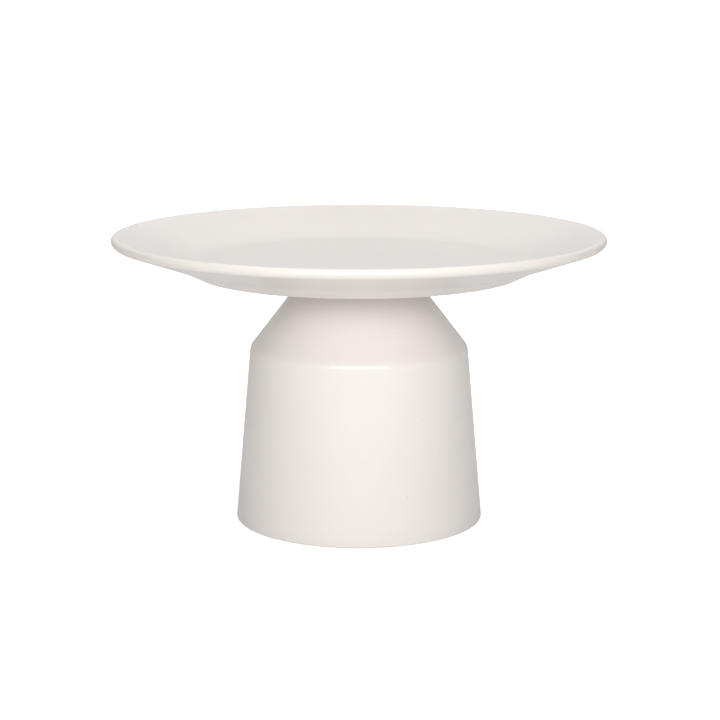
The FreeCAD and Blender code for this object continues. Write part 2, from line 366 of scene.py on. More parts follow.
# %% Glaze materials
GLAZE = (0.80, 0.76, 0.724, 1)
GLAZE_POOL = (0.77, 0.729, 0.69, 1)
GLAZE_THIN = (0.82, 0.77, 0.72, 1)
CLAY_PALE = (0.70, 0.62, 0.52, 1)
CLAY_DARK = (0.58, 0.50, 0.41, 1)
CLAY_GRIT = (0.45, 0.38, 0.31, 1)
GRIT_SCALE = 1400.0
GRIT_TONE = 0.4
STAIN_SCALE = 60.0
CLAY_ROUGHNESS = 0.75
WELL_FLOOR = 8.7 * MM
SHOULDER_HEIGHT = 107.5 * MM


def make_glaze(name, pool_height, pool_reach, edge_height, edge_reach):
    """One of the two glazes."""
    material, tree, shader = new_material(name)
    surface = use_group(
        tree, glaze_surface, Glaze_Colour=GLAZE, Thin_Colour=GLAZE_THIN, Pool_Colour=GLAZE_POOL,
        Pool_Height=pool_height, Pool_Reach=pool_reach, Edge_Height=edge_height,
        Edge_Reach=edge_reach, Speck_Amount=0.18, Gloss_Roughness=0.38,
    )
    finish_surface(tree, shader, surface, strength=0.1, distance=0.6 * MM)
    set_sockets(
        shader, IOR=1.5, Subsurface_Weight=0.12, Subsurface_Radius=(0.004, 0.003, 0.002),
        Subsurface_Scale=1.0, Specular_IOR_Level=0.2, Coat_Weight=0.4, Coat_Roughness=0.06,
    )
    return material


def make_bare_clay():
    """Dry wiped clay: warm, matt and sandy."""
    material, tree, shader = new_material("bare_clay")
    place = object_place(tree)
    grain = noise_node(tree, place, GRIT_SCALE, 4.0, 0.7)
    stain = noise_node(tree, place, STAIN_SCALE, 3.0, 0.6)
    colour = mixed_colour(tree, stain, CLAY_PALE, CLAY_DARK)
    sanded = mixed_colour(tree, math_node(tree, "MULTIPLY", grain, GRIT_TONE), colour, CLAY_GRIT)
    bump = add_node(
        tree, "ShaderNodeBump", {"Strength": 0.5, "Distance": 0.3 * MM, "Height": grain}
    )
    rough = math_node(tree, "ADD", CLAY_ROUGHNESS, math_node(tree, "MULTIPLY", grain, 0.2))
    tree.links.new(sanded, shader.inputs["Base Color"])
    tree.links.new(bump.outputs["Normal"], shader.inputs["Normal"])
    tree.links.new(rough, shader.inputs["Roughness"])
    return material


plate_low, plate_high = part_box("plate")
pedestal_low, pedestal_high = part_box("pedestal")
plate_glaze = make_glaze(
    "plate_glaze", pool_height=plate_low.z + WELL_FLOOR, pool_reach=3 * MM,
    edge_height=plate_high.z, edge_reach=2.5 * MM,
)
pedestal_glaze = make_glaze(
    "pedestal_glaze", pool_height=pedestal_low.z + 2 * MM, pool_reach=9 * MM,
    edge_height=SHOULDER_HEIGHT, edge_reach=3 * MM,
)
bare_clay = make_bare_clay()
print("glazes", plate_glaze.name, pedestal_glaze.name, "and", bare_clay.name)


# %% [markdown]
# ## The plate
#
# The plate is one turned section, drawn from the middle of the well out to the lip and back along
# the underside to the blind hole for the brass insert. It has a flat well with a long soft blend
# into the wall, a lip that is rounded above and a little more below, and a foot ring that starts
# at a soft crease. Its contact face is wiped clean of glaze.

# %% Turn the plate
PLATE_RADIUS = plate_high.x
WELL_RADIUS = 97.3 * MM
WELL_BLEND = 40 * MM
LIP_CREST_RADIUS = 146.6 * MM
LIP_CREST_ROUND = 3 * MM
LIP_OUTER_ROUND = 2.5 * MM
LIP_FOOT = 19.3 * MM
LIP_UNDER_ROUND = 3.4 * MM
CREASE_RADIUS = 112.0 * MM
CREASE_HEIGHT = 6.3 * MM
CREASE_ROUND = 4 * MM
RING_OUTER = 98.8 * MM
RING_INNER = 93.0 * MM
RING_ROUND = 1.6 * MM
RECESS_RADIUS = 90.5 * MM
RECESS_DEPTH = 3.6 * MM
RECESS_ROUND = 3 * MM
BOSS_RADIUS = 11.0 * MM
BOSS_ROUND = 0.8 * MM
BOSS_END = 0.5 * MM
BOSS_HOLE_RADIUS = 5.5 * MM
BOSS_HOLE_TOP = 5.9 * MM
SAME_LEVEL = 0.05 * MM


def wipe_contact_face(bm, level, inner, outer):
    """Give the flat faces that stand on something the second material."""
    for face in bm.faces:
        centre = face.calc_center_median()
        reach = math.hypot(centre.x, centre.y)
        if abs(centre.z - level) < SAME_LEVEL and inner < reach < outer:
            face.material_index = 1


def make_plate():
    """The turned plate."""
    foot = plate_low.z
    bm = bmesh.new()
    add_section(bm, [
        (0, foot + WELL_FLOOR, 0),
        (WELL_RADIUS, foot + WELL_FLOOR, WELL_BLEND),
        (LIP_CREST_RADIUS, plate_high.z, LIP_CREST_ROUND),
        (PLATE_RADIUS, plate_high.z, LIP_OUTER_ROUND),
        (PLATE_RADIUS, foot + LIP_FOOT, LIP_UNDER_ROUND),
        (CREASE_RADIUS, foot + CREASE_HEIGHT, CREASE_ROUND),
        (RING_OUTER, foot, RING_ROUND),
        (RING_INNER, foot, RING_ROUND),
        (RECESS_RADIUS, foot + RECESS_DEPTH, RECESS_ROUND),
        (BOSS_RADIUS, foot + RECESS_DEPTH, BOSS_ROUND),
        (BOSS_RADIUS, foot + BOSS_END, BOSS_ROUND),
        (BOSS_HOLE_RADIUS, foot + BOSS_END, 0),
        (BOSS_HOLE_RADIUS, foot + BOSS_HOLE_TOP, 0),
        (0, foot + BOSS_HOLE_TOP, 0),
    ], closed=False)
    turn_round(bm)
    wipe_contact_face(bm, foot, RING_INNER, RING_OUTER)
    finish_piece("glazed_plate", bm, "plate", "plate_top", "plate_glaze", plate_glaze, bare_clay)


make_plate()

# %% [markdown]
# ## The pedestal
#
# The pedestal is a second turned section, closed on itself because the foot is open: outer wall,
# shoulder, cone and crown, then down the inside. The shoulder's arc is what carries the thin
# line of light at the front. The foot's radius is given and not read from the CAD part's box,
# because the box ends at the rounded rim, a little inside the corner that the rounding started
# from.

# %% Turn the pedestal
FOOT_RADIUS = 76.1 * MM
WALL = 5.5 * MM
SHOULDER_RADIUS = 66.7 * MM
SHOULDER_ROUND = 7 * MM
CROWN_RADIUS = 30.3 * MM
CROWN_ROUND = 1.5 * MM
CROWN_THICKNESS = 7.0 * MM
CROWN_HOLE = 12.0 * MM
CROWN_HOLE_ROUND = 0.8 * MM
CROWN_INNER = 28.7 * MM
INNER_DROP = 2.1 * MM
INNER_ROUND = 4 * MM
FOOT_ROUND = 1.6 * MM


def make_pedestal():
    """The turned pedestal."""
    under_crown = pedestal_high.z - CROWN_THICKNESS
    bm = bmesh.new()
    add_section(bm, [
        (FOOT_RADIUS, pedestal_low.z, FOOT_ROUND),
        (SHOULDER_RADIUS, SHOULDER_HEIGHT, SHOULDER_ROUND),
        (CROWN_RADIUS, pedestal_high.z, CROWN_ROUND),
        (CROWN_HOLE, pedestal_high.z, CROWN_HOLE_ROUND),
        (CROWN_HOLE, under_crown, CROWN_HOLE_ROUND),
        (CROWN_INNER, under_crown, INNER_ROUND),
        (SHOULDER_RADIUS - WALL, SHOULDER_HEIGHT - INNER_DROP, INNER_ROUND),
        (FOOT_RADIUS - WALL, pedestal_low.z, FOOT_ROUND),
    ])
    turn_round(bm)
    wipe_contact_face(bm, pedestal_low.z, FOOT_RADIUS - WALL, FOOT_RADIUS)
    finish_piece(
        "glazed_pedestal", bm, "pedestal", "stand_base", "pedestal_glaze", pedestal_glaze,
        bare_clay,
    )


make_pedestal()

# %% [markdown]
# ## Finishes for the small parts
#
# The hardware hides inside the pedestal, but it is seen from below and whenever the plate is off.
# Moulded silicone and plastic share one effect: the fine grain of the mould, a few pits with
# painted shade in them, and a pale bloom where dust has settled. The three metals share another:
# fine rings left by the lathe or the press, blotches of tarnish, and bright scratches. So each
# effect is one node group that every material fills in with its own values.

# %% The moulded skin group
PATCH_SCALE = 110.0
PATCH_ROUGHNESS = 0.3
PIT_EDGE = 0.35
# How far the pits' colour goes towards near-black, and that colour: painted shade in the dents.
PIT_SHADE_TONE = 0.6
PIT_SHADE_COLOUR = (0.02, 0.02, 0.02, 1)


def make_moulded_group():
    """Mould grain, pits darkened with painted shade, and a patchy bloom of dust."""
    tree, given, out = new_group(
        "moulded_skin",
        {
            "Skin Colour": ("NodeSocketColor", (0.8, 0.8, 0.8, 1)),
            "Bloom Colour": ("NodeSocketColor", (0.9, 0.9, 0.9, 1)),
            "Bloom Amount": ("NodeSocketFloat", 0.3),
            "Grain Scale": ("NodeSocketFloat", 2500.0),
            "Skin Roughness": ("NodeSocketFloat", 0.5),
        },
        SURFACE_OUTPUTS,
    )
    place = object_place(tree)
    patches = noise_node(tree, place, PATCH_SCALE, 4.0, 0.6)
    grain = noise_node(tree, place, given.outputs["Grain Scale"], 2.0, 0.6)
    cells = add_node(
        tree, "ShaderNodeTexVoronoi", {"Vector": place, "Scale": given.outputs["Grain Scale"]}
    ).outputs["Distance"]
    pit = math_node(tree, "SUBTRACT", PIT_EDGE, cells, clamp=True)
    bloom = math_node(tree, "MULTIPLY", patches, given.outputs["Bloom Amount"])
    toned = mixed_colour(tree, bloom, given.outputs["Skin Colour"], given.outputs["Bloom Colour"])
    # Painted shade: each pit's colour is darkened where its dent lowers the height.
    pit_shaded = mixed_colour(tree, math_node(tree, "MULTIPLY", pit, PIT_SHADE_TONE), toned, PIT_SHADE_COLOUR)
    centred = math_node(tree, "SUBTRACT", patches, 0.5)
    uneven = math_node(tree, "MULTIPLY", centred, PATCH_ROUGHNESS)
    rough = math_node(tree, "ADD", given.outputs["Skin Roughness"], uneven, clamp=True)
    tree.links.new(pit_shaded, out.inputs["Colour"])
    tree.links.new(rough, out.inputs["Roughness"])
    tree.links.new(math_node(tree, "SUBTRACT", grain, pit), out.inputs["Height"])
    return tree


moulded_skin = make_moulded_group()
print("moulded skin has", len(moulded_skin.nodes), "nodes")

# %% The worn metal group
BLOTCH_SCALE = 260.0
BLOTCH_ROUGHNESS = 0.22
RING_ROUGHNESS = 0.12
STREAK_STRETCH = (250, 2600, 900)
SCRATCH_START = 0.62
SCRATCH_GAIN = 6.0
SCRATCH_TONE = 0.5
SCRATCH_COLOUR = (0.85, 0.84, 0.82, 1)


def make_metal_group():
    """Turning rings, tarnish and scratches."""
    tree, given, out = new_group(
        "worn_metal",
        {
            "Metal Colour": ("NodeSocketColor", (0.6, 0.6, 0.6, 1)),
            "Tarnish Colour": ("NodeSocketColor", (0.4, 0.4, 0.4, 1)),
            "Tarnish Amount": ("NodeSocketFloat", 0.5),
            "Ring Scale": ("NodeSocketFloat", 3000.0),
            "Metal Roughness": ("NodeSocketFloat", 0.3),
        },
        SURFACE_OUTPUTS,
    )
    place = object_place(tree)
    level = add_node(tree, "ShaderNodeSeparateXYZ", {0: place}).outputs["Z"]
    ringwise = add_node(
        tree, "ShaderNodeCombineXYZ", {0: axis_distance(tree, place), 1: level}
    ).outputs[0]
    rings = noise_node(tree, ringwise, given.outputs["Ring Scale"], 2.0)
    blotches = noise_node(tree, place, BLOTCH_SCALE, 4.0, 0.65)
    stretched = add_node(
        tree, "ShaderNodeVectorMath", {0: place, 1: STREAK_STRETCH}, operation="MULTIPLY"
    ).outputs["Vector"]
    streaks = noise_node(tree, stretched, 1.0, 2.0)
    streak_top = math_node(tree, "SUBTRACT", streaks, SCRATCH_START, clamp=True)
    scratch = math_node(tree, "MULTIPLY", streak_top, SCRATCH_GAIN, clamp=True)
    dulled = math_node(tree, "MULTIPLY", blotches, given.outputs["Tarnish Amount"])
    toned = mixed_colour(
        tree, dulled, given.outputs["Metal Colour"], given.outputs["Tarnish Colour"]
    )
    scoring = math_node(tree, "MULTIPLY", scratch, SCRATCH_TONE)
    scored = mixed_colour(tree, scoring, toned, SCRATCH_COLOUR)
    dull_rough = math_node(tree, "MULTIPLY", blotches, BLOTCH_ROUGHNESS)
    ring_rough = math_node(tree, "MULTIPLY", rings, RING_ROUGHNESS)
    added_rough = math_node(tree, "ADD", dull_rough, ring_rough)
    rough = math_node(tree, "ADD", given.outputs["Metal Roughness"], added_rough)
    tree.links.new(scored, out.inputs["Colour"])
    tree.links.new(rough, out.inputs["Roughness"])
    tree.links.new(math_node(tree, "SUBTRACT", rings, scratch), out.inputs["Height"])
    return tree


worn_metal = make_metal_group()
print("worn metal has", len(worn_metal.nodes), "nodes")

# %% [markdown]
# ## The small finishes themselves
#
# Silicone is milky, so a little light spreads inside it. The knob's plastic is charcoal, and
# fingers polish the ends of its lobes, which is a roughness that falls with the distance from the
# axis. Steel and brass differ only in the values they give the metal group. The resin has trapped
# bubbles that nothing else has, so it needs no group.

# %% Silicone, plastic, metal and resin
CHARCOAL = (0.042, 0.042, 0.045, 1)
KNOB_DUST = (0.12, 0.118, 0.112, 1)
POLISH_START = 17.5 * MM
POLISH_END = 19.8 * MM
POLISH = 0.16
AMBER = (0.50, 0.40, 0.24, 1)
AMBER_HAZE = (0.60, 0.53, 0.40, 1)
BUBBLE_COLOUR = (0.72, 0.66, 0.54, 1)
BUBBLE_EDGE = 0.25
BUBBLE_TONE = 2.0
BUBBLE_SCALE = 1500.0
HAZE_SCALE = 420.0
RESIN_ROUGHNESS = 0.18


def make_silicone(name, skin, bloom):
    """Soft milky silicone, a little see-through at its edges."""
    material, tree, shader = new_material(name)
    surface = use_group(
        tree, moulded_skin, Skin_Colour=skin, Bloom_Colour=bloom, Bloom_Amount=0.5,
        Grain_Scale=2200.0, Skin_Roughness=0.55,
    )
    finish_surface(tree, shader, surface, strength=0.25, distance=0.08 * MM)
    set_sockets(
        shader, Subsurface_Weight=0.4, Subsurface_Radius=(0.0015, 0.0014, 0.0012),
        Subsurface_Scale=1.0, IOR=1.42,
    )
    return material


def make_knob_plastic():
    """Charcoal plastic with a mould grain that fingers have polished on the lobes."""
    material, tree, shader = new_material("knob_plastic")
    surface = use_group(
        tree, moulded_skin, Skin_Colour=CHARCOAL, Bloom_Colour=KNOB_DUST,
        Bloom_Amount=0.45, Grain_Scale=1700.0, Skin_Roughness=0.5,
    )
    finish_surface(tree, shader, surface, strength=0.45, distance=0.12 * MM)
    held = add_node(
        tree, "ShaderNodeMapRange",
        {
            "Value": axis_distance(tree, object_place(tree)), "From Min": POLISH_START,
            "From Max": POLISH_END, "To Min": 0.0, "To Max": POLISH,
        },
    ).outputs["Result"]
    polished = math_node(tree, "SUBTRACT", surface.outputs["Roughness"], held, clamp=True)
    tree.links.new(polished, shader.inputs["Roughness"])
    return material


def make_metal(name, metal, tarnish, amount, rings, roughness, depth):
    """One of the worn metals."""
    material, tree, shader = new_material(name)
    surface = use_group(
        tree, worn_metal, Metal_Colour=metal, Tarnish_Colour=tarnish, Tarnish_Amount=amount,
        Ring_Scale=rings, Metal_Roughness=roughness,
    )
    finish_surface(tree, shader, surface, strength=0.3, distance=depth)
    set_sockets(shader, Metallic=1.0)
    return material


def make_cured_resin():
    """Amber resin with small trapped bubbles."""
    material, tree, shader = new_material("cured_resin")
    place = object_place(tree)
    haze = noise_node(tree, place, HAZE_SCALE, 3.0, 0.6)
    bubbles = add_node(
        tree, "ShaderNodeTexVoronoi", {"Vector": place, "Scale": BUBBLE_SCALE}
    ).outputs["Distance"]
    dimple = math_node(tree, "SUBTRACT", BUBBLE_EDGE, bubbles, clamp=True)
    amber = mixed_colour(tree, haze, AMBER, AMBER_HAZE)
    bubbled = math_node(tree, "MULTIPLY", dimple, BUBBLE_TONE)
    clouded = mixed_colour(tree, bubbled, amber, BUBBLE_COLOUR)
    height = math_node(tree, "SUBTRACT", haze, dimple)
    bump = add_node(
        tree, "ShaderNodeBump", {"Strength": 0.4, "Distance": 0.1 * MM, "Height": height}
    )
    rough = math_node(tree, "ADD", RESIN_ROUGHNESS, math_node(tree, "MULTIPLY", haze, 0.2))
    tree.links.new(clouded, shader.inputs["Base Color"])
    tree.links.new(bump.outputs["Normal"], shader.inputs["Normal"])
    tree.links.new(rough, shader.inputs["Roughness"])
    set_sockets(
        shader, Subsurface_Weight=0.35, Subsurface_Radius=(0.002, 0.0012, 0.0006),
        Subsurface_Scale=1.0, IOR=1.55,
    )
    return material


gasket_silicone = make_silicone("gasket_silicone", (0.74, 0.73, 0.70, 1), (0.84, 0.83, 0.80, 1))
cushion_silicone = make_silicone("cushion_silicone", (0.70, 0.69, 0.66, 1), (0.82, 0.80, 0.76, 1))
knob_plastic = make_knob_plastic()
washer_steel = make_metal(
    "washer_steel", metal=(0.60, 0.61, 0.63, 1), tarnish=(0.36, 0.35, 0.33, 1), amount=0.7,
    rings=2600.0, roughness=0.24, depth=0.06 * MM,
)
stud_steel = make_metal(
    "stud_steel", metal=(0.58, 0.59, 0.61, 1), tarnish=(0.33, 0.32, 0.30, 1), amount=0.6,
    rings=5200.0, roughness=0.22, depth=0.03 * MM,
)
insert_brass = make_metal(
    "insert_brass", metal=(0.80, 0.60, 0.30, 1), tarnish=(0.42, 0.29, 0.14, 1), amount=0.6,
    rings=4200.0, roughness=0.2, depth=0.04 * MM,
)
cured_resin = make_cured_resin()
print("materials so far:", ", ".join(material.name for material in bpy.data.materials))

# %% [markdown]
# ## The soft rings and the steel washer
#
# A silicone ring on the crown keeps glaze off glaze, and a second ring cushions the steel washer
# where it pulls against the underside of the crown. Rings like these are moulded, so they are
# turned sections with soft corners, and the seat ring has shallow grip grooves. The washer is
# stamped from sheet: the punch rolls one edge over and leaves the other crisp.

# %% Rings and washer
SMALL_STEPS = 96
SMALL_RUN = 1.5 * MM
SOFT_ROUND = 0.35 * MM
CRISP_ROUND = 0.08 * MM
GRIP_GROOVES = (24.5 * MM, 20.5 * MM, 16.5 * MM)
GROOVE_HALF = 0.6 * MM
GROOVE_DEPTH = 0.25 * MM
SEAT_RING_INNER = 13.0 * MM
WASHER_HOLE = 3.3 * MM
ROLL_OVER = 0.4 * MM


def grip_groove(middle, level):
    """The four corners of one shallow groove in a top face, from outside in."""
    return [
        (middle + GROOVE_HALF, level, CRISP_ROUND),
        (middle + GROOVE_HALF / 2, level - GROOVE_DEPTH, CRISP_ROUND),
        (middle - GROOVE_HALF / 2, level - GROOVE_DEPTH, CRISP_ROUND),
        (middle - GROOVE_HALF, level, CRISP_ROUND),
    ]


def turned_ring(name, points, body, slot, material):
    """A closed section turned into a ring that stands for the CAD node of the same name."""
    bm = bmesh.new()
    add_section(bm, points)
    turn_round(bm, SMALL_STEPS, SMALL_RUN)
    finish_piece(f"{name}_made", bm, name, body, slot, material)


def make_seat_gasket():
    """The grooved ring under the plate."""
    low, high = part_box("seat_gasket")
    grooves = [corner for middle in GRIP_GROOVES for corner in grip_groove(middle, high.z)]
    turned_ring("seat_gasket", [
        (SEAT_RING_INNER, low.z, SOFT_ROUND),
        (high.x, low.z, SOFT_ROUND),
        (high.x, high.z, SOFT_ROUND),
        *grooves,
        (SEAT_RING_INNER, high.z, SOFT_ROUND),
    ], "stand_base", "gasket_silicone", gasket_silicone)


def make_plain_ring(node, slot, material, low_round, high_round):
    """A flat ring round the stud, with its own rounding below and above."""
    low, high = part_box(node)
    turned_ring(node, [
        (WASHER_HOLE, low.z, low_round),
        (high.x, low.z, low_round),
        (high.x, high.z, high_round),
        (WASHER_HOLE, high.z, high_round),
    ], "washer_pair", slot, material)


make_seat_gasket()
make_plain_ring("cushion_washer", "cushion_silicone", cushion_silicone, SOFT_ROUND, SOFT_ROUND)
make_plain_ring("clamp_washer", "washer_steel", washer_steel, ROLL_OVER, CRISP_ROUND)

# %% [markdown]
# ## The thread
#
# A screw thread is one tooth of the section, spun round the axis while it rises by one pitch in
# each turn. Every turn's upper edge lands on the lower edge of the next, so merging doubles closes
# the helix. The ends are then cut square and the first tooth is pared down to a lead-in.

# %% Thread helpers
PITCH = 1.0 * MM
THREAD_STEPS = 40
LEVEL_MATCH = 0.01 * MM


def add_thread(bm, low, high, crest, root, crest_flat, root_flat):
    """A helical skin from low to high; the crest passes +X at whole pitches."""
    flank = (PITCH - crest_flat - root_flat) / 2
    start = PITCH * math.floor(low / PITCH - 1)
    turns = math.ceil((high - start) / PITCH) + 1
    half = crest_flat / 2
    tooth = [
        (root, -PITCH / 2), (root, -half - flank), (crest, -half), (crest, half),
        (root, half + flank), (root, PITCH / 2),
    ]
    add_section(bm, [(reach, start + rise, 0) for reach, rise in tooth], closed=False)
    verts, edges = loose_wire(bm)
    bmesh.ops.spin(
        bm, geom=verts + edges, cent=(0, 0, 0), axis=(0, 0, 1), dvec=(0, 0, PITCH / THREAD_STEPS),
        angle=turns * math.tau, steps=turns * THREAD_STEPS,
    )
    bmesh.ops.remove_doubles(bm, verts=bm.verts[:], dist=WELD)
    for level, side in ((low, -1), (high, 1)):
        bmesh.ops.bisect_plane(
            bm, geom=bm.verts[:] + bm.edges[:] + bm.faces[:], plane_co=(0, 0, level),
            plane_no=(0, 0, side), clear_outer=True,
        )


def pare_ends(bm, low, high, end_radius, outwards):
    """Pare the thread's ends to a 45 degree lead: down to a radius, or out to it."""
    for vertex in bm.verts:
        depth = min(vertex.co.z - low, high - vertex.co.z)
        reach = vertex.co.xy.length
        limit = end_radius - depth if outwards else end_radius + depth
        if (reach < limit) if outwards else (reach > limit):
            vertex.co.xy *= limit / reach
    bmesh.ops.remove_doubles(bm, verts=bm.verts[:], dist=WELD)


def open_edges(bm, level):
    """The open edges at a level."""
    return [
        e for e in bm.edges
        if e.is_boundary and all(abs(v.co.z - level) < LEVEL_MATCH for v in e.verts)
    ]


def close_level(bm, level):
    """Fill the flat space between the open loops at a level."""
    bmesh.ops.triangle_fill(bm, edges=open_edges(bm, level), use_beauty=True)


print("thread pitch", PITCH / MM, "mm in", THREAD_STEPS, "steps a turn")

# %% [markdown]
# ## The stud, the brass insert and its resin
#
# The stud and the insert use the same helix with different radii, so they stay in mesh as the knob
# turns. The insert's outside is a turned section with two grooves that key it into the resin, and
# the two skins are joined by filling the flat space between their rims. The resin is a plain
# sleeve, drawn in a little at both ends, as it is when it sets between two walls.

# %% The stud, the insert and the resin sleeve
STUD_CREST = 2.97 * MM
STUD_ROOT = 2.42 * MM
STUD_CREST_FLAT = 0.15 * MM
STUD_ROOT_FLAT = 0.25 * MM
STUD_END = 2.4 * MM
INSERT_CREST = 3.05 * MM
INSERT_ROOT = 2.52 * MM
INSERT_CREST_FLAT = 0.2 * MM
INSERT_ROOT_FLAT = 0.12 * MM
INSERT_MOUTH = 3.35 * MM
INSERT_FACE = 3.6 * MM
INSERT_GROOVE = 0.5 * MM
INSERT_RELIEF = 0.4 * MM
INSERT_ROUND = 0.15 * MM
SLEEVE_OUTER = 5.5 * MM
MENISCUS = 0.12 * MM
MENISCUS_ROUND = 0.3 * MM


def make_clamp_stud():
    """The threaded stud."""
    low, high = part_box("clamp_stud")
    bm = bmesh.new()
    add_thread(bm, low.z, high.z, STUD_CREST, STUD_ROOT, STUD_CREST_FLAT, STUD_ROOT_FLAT)
    pare_ends(bm, low.z, high.z, STUD_END, outwards=False)
    close_level(bm, low.z)
    close_level(bm, high.z)
    bmesh.ops.recalc_face_normals(bm, faces=bm.faces[:])
    finish_piece("clamp_stud_made", bm, "clamp_stud", "hand_screw", "stud_steel", stud_steel)


def make_threaded_insert():
    """The insert: a thread inside, two keying grooves outside."""
    low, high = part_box("threaded_insert")
    bm = bmesh.new()
    add_thread(
        bm, low.z, high.z, INSERT_CREST, INSERT_ROOT, INSERT_CREST_FLAT, INSERT_ROOT_FLAT
    )
    pare_ends(bm, low.z, high.z, INSERT_MOUTH, outwards=True)
    outer = high.x
    length = high.z - low.z
    grooves = []
    for middle in (low.z + length / 3, low.z + 2 * length / 3):
        grooves += [
            (outer, middle - INSERT_RELIEF, 0),
            (outer - INSERT_GROOVE, middle - INSERT_RELIEF, 0),
            (outer - INSERT_GROOVE, middle + INSERT_RELIEF, 0),
            (outer, middle + INSERT_RELIEF, 0),
        ]
    add_section(bm, [
        (INSERT_FACE, low.z, 0), (outer, low.z, INSERT_ROUND), *grooves,
        (outer, high.z, INSERT_ROUND), (INSERT_FACE, high.z, 0),
    ], closed=False)
    turn_round(bm, SMALL_STEPS, SMALL_RUN)
    close_level(bm, low.z)
    close_level(bm, high.z)
    bmesh.ops.recalc_face_normals(bm, faces=bm.faces[:])
    finish_piece(
        "threaded_insert_made", bm, "threaded_insert", "plate_top", "insert_brass", insert_brass
    )


def make_insert_bond():
    """The resin sleeve, drawn up a little between its walls as it set."""
    low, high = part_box("insert_bond")
    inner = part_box("threaded_insert")[1].x
    middle = (inner + SLEEVE_OUTER) / 2
    turned_ring("insert_bond", [
        (inner, low.z, 0), (middle, low.z + MENISCUS, MENISCUS_ROUND), (SLEEVE_OUTER, low.z, 0),
        (SLEEVE_OUTER, high.z, 0), (middle, high.z - MENISCUS, MENISCUS_ROUND),
        (inner, high.z, 0),
    ], "plate_top", "cured_resin", cured_resin)


make_clamp_stud()
make_threaded_insert()
make_insert_bond()

# %% [markdown]
# ## The hand knob
#
# The knob is one moulding with six lobes. Its plan is a wire with a valley, a lobe and two corners
# repeated six times, and vertex bevels turn those into arcs. The filled plan is raised, drawn in a
# little so that it would leave the mould, and rounded along both rims. A hair of a parting line
# runs round it where the mould's halves met. The collar with its blind hole, and the dished
# underside with the gate mark in the middle, are turned and joined to the open rims.

# %% The knob's sizes
LOBES = 6
VALLEY_REACH = 15.0 * MM
VALLEY_ROUND = 8.0 * MM
CORNER_REACH = 19.9 * MM
CORNER_TURN = math.radians(16.06)
CORNER_ROUND = 1.6 * MM
LOBE_REACH = 20.2 * MM
LOBE_ROUND = 15.0 * MM
GRIP_HEIGHT = 15.0 * MM
RIM_ROUND = 1.4 * MM
RIM_STEPS = 5
CAP_CORNERS = 8
DRAFT = 0.985
PARTING_HALF = 0.05 * MM
PARTING_RISE = 1.003
COLLAR_RADIUS = 10.0 * MM
COLLAR_REACH = 11.5 * MM
COLLAR_FOOT = 10.3 * MM
COLLAR_FOOT_ROUND = 0.7 * MM
COLLAR_TOP_ROUND = 0.8 * MM
HOLE_RADIUS = 3.02 * MM
HOLE_CHAMFER = 0.4 * MM
DISH_RADIUS = 12.8 * MM
DISH_STEP = 0.5 * MM
DISH_DEPTH = 0.9 * MM
DISH_ROUND = 0.4 * MM
GATE_RADIUS = 2.2 * MM
GATE_SLOPE = 0.4 * MM
GATE_RISE = 0.35 * MM
GATE_ROUND = 0.2 * MM
print("knob", LOBES, "lobes,", 2 * LOBE_REACH / MM, "mm before its corners are rounded")

# %% Make the knob
def cap_faces(bm):
    """The many-cornered faces that close the grip above and below."""
    return [face for face in bm.faces if len(face.verts) > CAP_CORNERS]


def plan_point(reach, angle, level):
    """A place from a distance and an angle round the axis."""
    return Vector((reach * math.cos(angle), reach * math.sin(angle), level))


def add_knob_grip(bm, low):
    """The lobed grip, open above and below."""
    corners = []
    for lobe in range(LOBES):
        angle = lobe * math.tau / LOBES
        corners += [
            (plan_point(VALLEY_REACH, angle, low), VALLEY_ROUND),
            (plan_point(CORNER_REACH, angle + CORNER_TURN, low), CORNER_ROUND),
            (plan_point(LOBE_REACH, angle + math.pi / LOBES, low), LOBE_ROUND),
            (plan_point(CORNER_REACH, angle + math.tau / LOBES - CORNER_TURN, low), CORNER_ROUND),
        ]
    rounded_wire(bm, corners, closed=True)
    bmesh.ops.edgeloop_fill(bm, edges=bm.edges[:])
    raised = bmesh.ops.extrude_face_region(bm, geom=bm.faces[:])["geom"]
    top = [item for item in raised if isinstance(item, bmesh.types.BMVert)]
    bmesh.ops.translate(bm, verts=top, vec=(0, 0, GRIP_HEIGHT))
    bmesh.ops.scale(bm, verts=top, vec=(DRAFT, DRAFT, 1))
    bmesh.ops.holes_fill(bm, edges=[e for e in bm.edges if e.is_boundary], sides=0)
    rims = [edge for face in cap_faces(bm) for edge in face.edges]
    bmesh.ops.bevel(
        bm, geom=rims, offset=RIM_ROUND, offset_type="OFFSET", affect="EDGES",
        segments=RIM_STEPS, profile=0.5, material=-1, clamp_overlap=False,
    )
    bmesh.ops.delete(bm, geom=cap_faces(bm), context="FACES_ONLY")
    parting = low + GRIP_HEIGHT / 2
    for step in (-1, 0, 1):
        bmesh.ops.bisect_plane(
            bm, geom=bm.verts[:] + bm.edges[:] + bm.faces[:],
            plane_co=(0, 0, parting + step * PARTING_HALF), plane_no=(0, 0, 1),
        )
    ridge = [v for v in bm.verts if abs(v.co.z - parting) < PARTING_HALF / 4]
    bmesh.ops.scale(bm, verts=ridge, vec=(PARTING_RISE, PARTING_RISE, 1))


